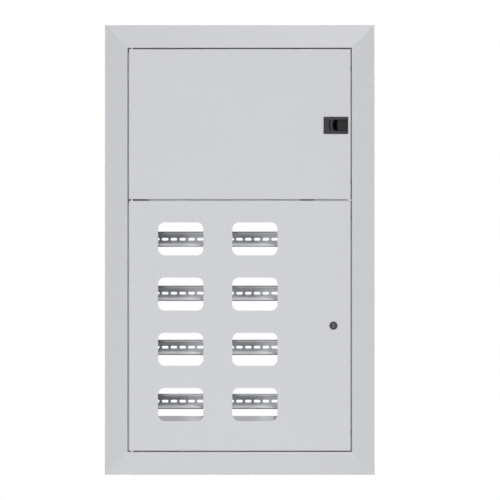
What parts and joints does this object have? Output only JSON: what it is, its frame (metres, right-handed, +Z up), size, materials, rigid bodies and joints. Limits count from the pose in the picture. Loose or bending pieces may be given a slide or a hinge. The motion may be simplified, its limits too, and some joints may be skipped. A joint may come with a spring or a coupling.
{
  "type": "floor distribution board",
  "caption": "Flush steel distribution board for a wall niche: mitred frame, plain upper door with slide latch, lower door with rounded windows over slotted device rails.",
  "frame": {"origin": "centre of the four rear fixing holes, on the rear plane of the back panel", "axes": "+Z up along the height, +X to the right as seen from the front, +Y back into the niche; the doors face -Y"},
  "size_m": [0.6, 0.1525, 1],
  "materials": {
    "painted_sheet": "fine-textured light grey powder coat on steel sheet",
    "zinc_rail": "zinc-plated steel",
    "zinc_steel": "zinc-plated steel",
    "black_steel": "black-finished steel plate",
    "black_plastic": "moulded black plastic, satin",
    "pad_plastic": "moulded black plastic, satin",
    "lock_case": "black-finished die-cast zinc",
    "lock_plug": "dark nickel-plated metal",
    "rubber": "black rubber"
  },
  "bodies": {
    "enclosure": {"back_panel": "painted_sheet", "box_earth_nut": "zinc_steel", "box_earth_stud": "zinc_steel", "box_wall_bottom": "painted_sheet", "box_wall_left": "painted_sheet", "box_wall_right": "painted_sheet", "box_wall_top": "painted_sheet", "cross_plate": "painted_sheet", "door_buffers": "rubber", "frame_bottom": "painted_sheet", "frame_left": "painted_sheet", "frame_right": "painted_sheet", "frame_top": "painted_sheet", "hinge_pin_middle": "zinc_steel", "hinge_plate_bottom": "black_steel", "hinge_plate_middle": "black_steel", "hinge_plate_top": "black_steel", "partition_shelf": "painted_sheet", "rail_1_left": "zinc_rail", "rail_1_right": "zinc_rail", "rail_2_left": "zinc_rail", "rail_2_right": "zinc_rail", "rail_3_left": "zinc_rail", "rail_3_right": "zinc_rail", "rail_4_left": "zinc_rail", "rail_4_right": "zinc_rail", "rail_screws": "zinc_steel", "upright_left": "painted_sheet", "upright_middle": "painted_sheet", "upright_right": "painted_sheet"},
    "upper_door": {"upper_door": "painted_sheet", "hinge_pin_top": "zinc_steel", "latch_housing": "black_plastic", "latch_retainer": "zinc_steel", "upper_earth_stud": "zinc_steel", "upper_earth_nut": "zinc_steel"},
    "upper_latch": {"latch_slider": "pad_plastic", "latch_tongue": "black_plastic", "latch_screw": "zinc_steel"},
    "lower_door": {"lower_door": "painted_sheet", "hinge_pin_bottom": "zinc_steel", "lock_housing": "lock_case", "lock_nut": "zinc_steel", "lower_earth_stud": "zinc_steel", "lower_earth_nut": "zinc_steel"},
    "lower_lock": {"lock_plug": "lock_plug", "lock_cam": "zinc_steel", "cam_screw": "zinc_steel"}
  },
  "joints": [
    {"name": "upper_door_swing", "type": "hinge", "parent": "enclosure", "child": "upper_door", "pos_m": [-0.24, -0.1448, 0.28], "axis": [0, 0, -1], "range_deg": [0, 110]},
    {"name": "latch_slide", "type": "slide", "parent": "upper_door", "child": "upper_latch", "axis": [1, 0, 0], "range_m": [-0.0075, 0.0028]},
    {"name": "lower_door_swing", "type": "hinge", "parent": "enclosure", "child": "lower_door", "pos_m": [-0.24, -0.1448, -0.168], "axis": [0, 0, -1], "range_deg": [0, 110]},
    {"name": "lock_turn", "type": "hinge", "parent": "lower_door", "child": "lower_lock", "pos_m": [0.208, -0.15, -0.1681], "axis": [0, 1, 0], "range_deg": [0, 90]}
  ]
}
